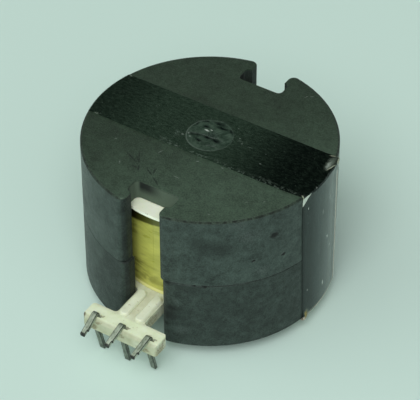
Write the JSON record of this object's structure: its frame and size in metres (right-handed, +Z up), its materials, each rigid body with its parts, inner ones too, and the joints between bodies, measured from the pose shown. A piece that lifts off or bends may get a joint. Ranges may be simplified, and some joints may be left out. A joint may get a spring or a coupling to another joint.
{
  "type": "high frequency transformer",
  "caption": "Round ferrite pot-core transformer: two core halves held by clear film over a wound bobbin, with wire slots and terminal boards at front and rear.",
  "frame": {"origin": "centre of the seating plane on the core's axis: the underside of the film band, which lies on the circuit board", "axes": "+Z up along the core's axis, away from the circuit board; -Y towards terminals 1 to 3; +X to the right, along the film band"},
  "size_m": [0.0302, 0.044, 0.0213],
  "materials": {
    "ferrite": "matte pressed and sintered ferrite",
    "bobbin_moulding": "cream moulded plastic, slightly aged",
    "enamelled_wire": "enamelled copper wire",
    "insulation_tape": "yellow polyester tape, satin",
    "clear_film": "clear glossy adhesive film",
    "tinned_wire": "dull tinned flat wire"
  },
  "bodies": {
    "root": {"upper_core_half": "ferrite", "lower_core_half": "ferrite", "bobbin": "bobbin_moulding", "primary_winding": "enamelled_wire", "interlayer_tape": "insulation_tape", "secondary_winding": "enamelled_wire", "outer_tape": "insulation_tape", "core_film": "clear_film", "terminal_1": "tinned_wire", "terminal_2": "tinned_wire", "terminal_3": "tinned_wire", "terminal_4": "tinned_wire", "terminal_5": "tinned_wire", "terminal_6": "tinned_wire"}
  },
  "joints": []
}
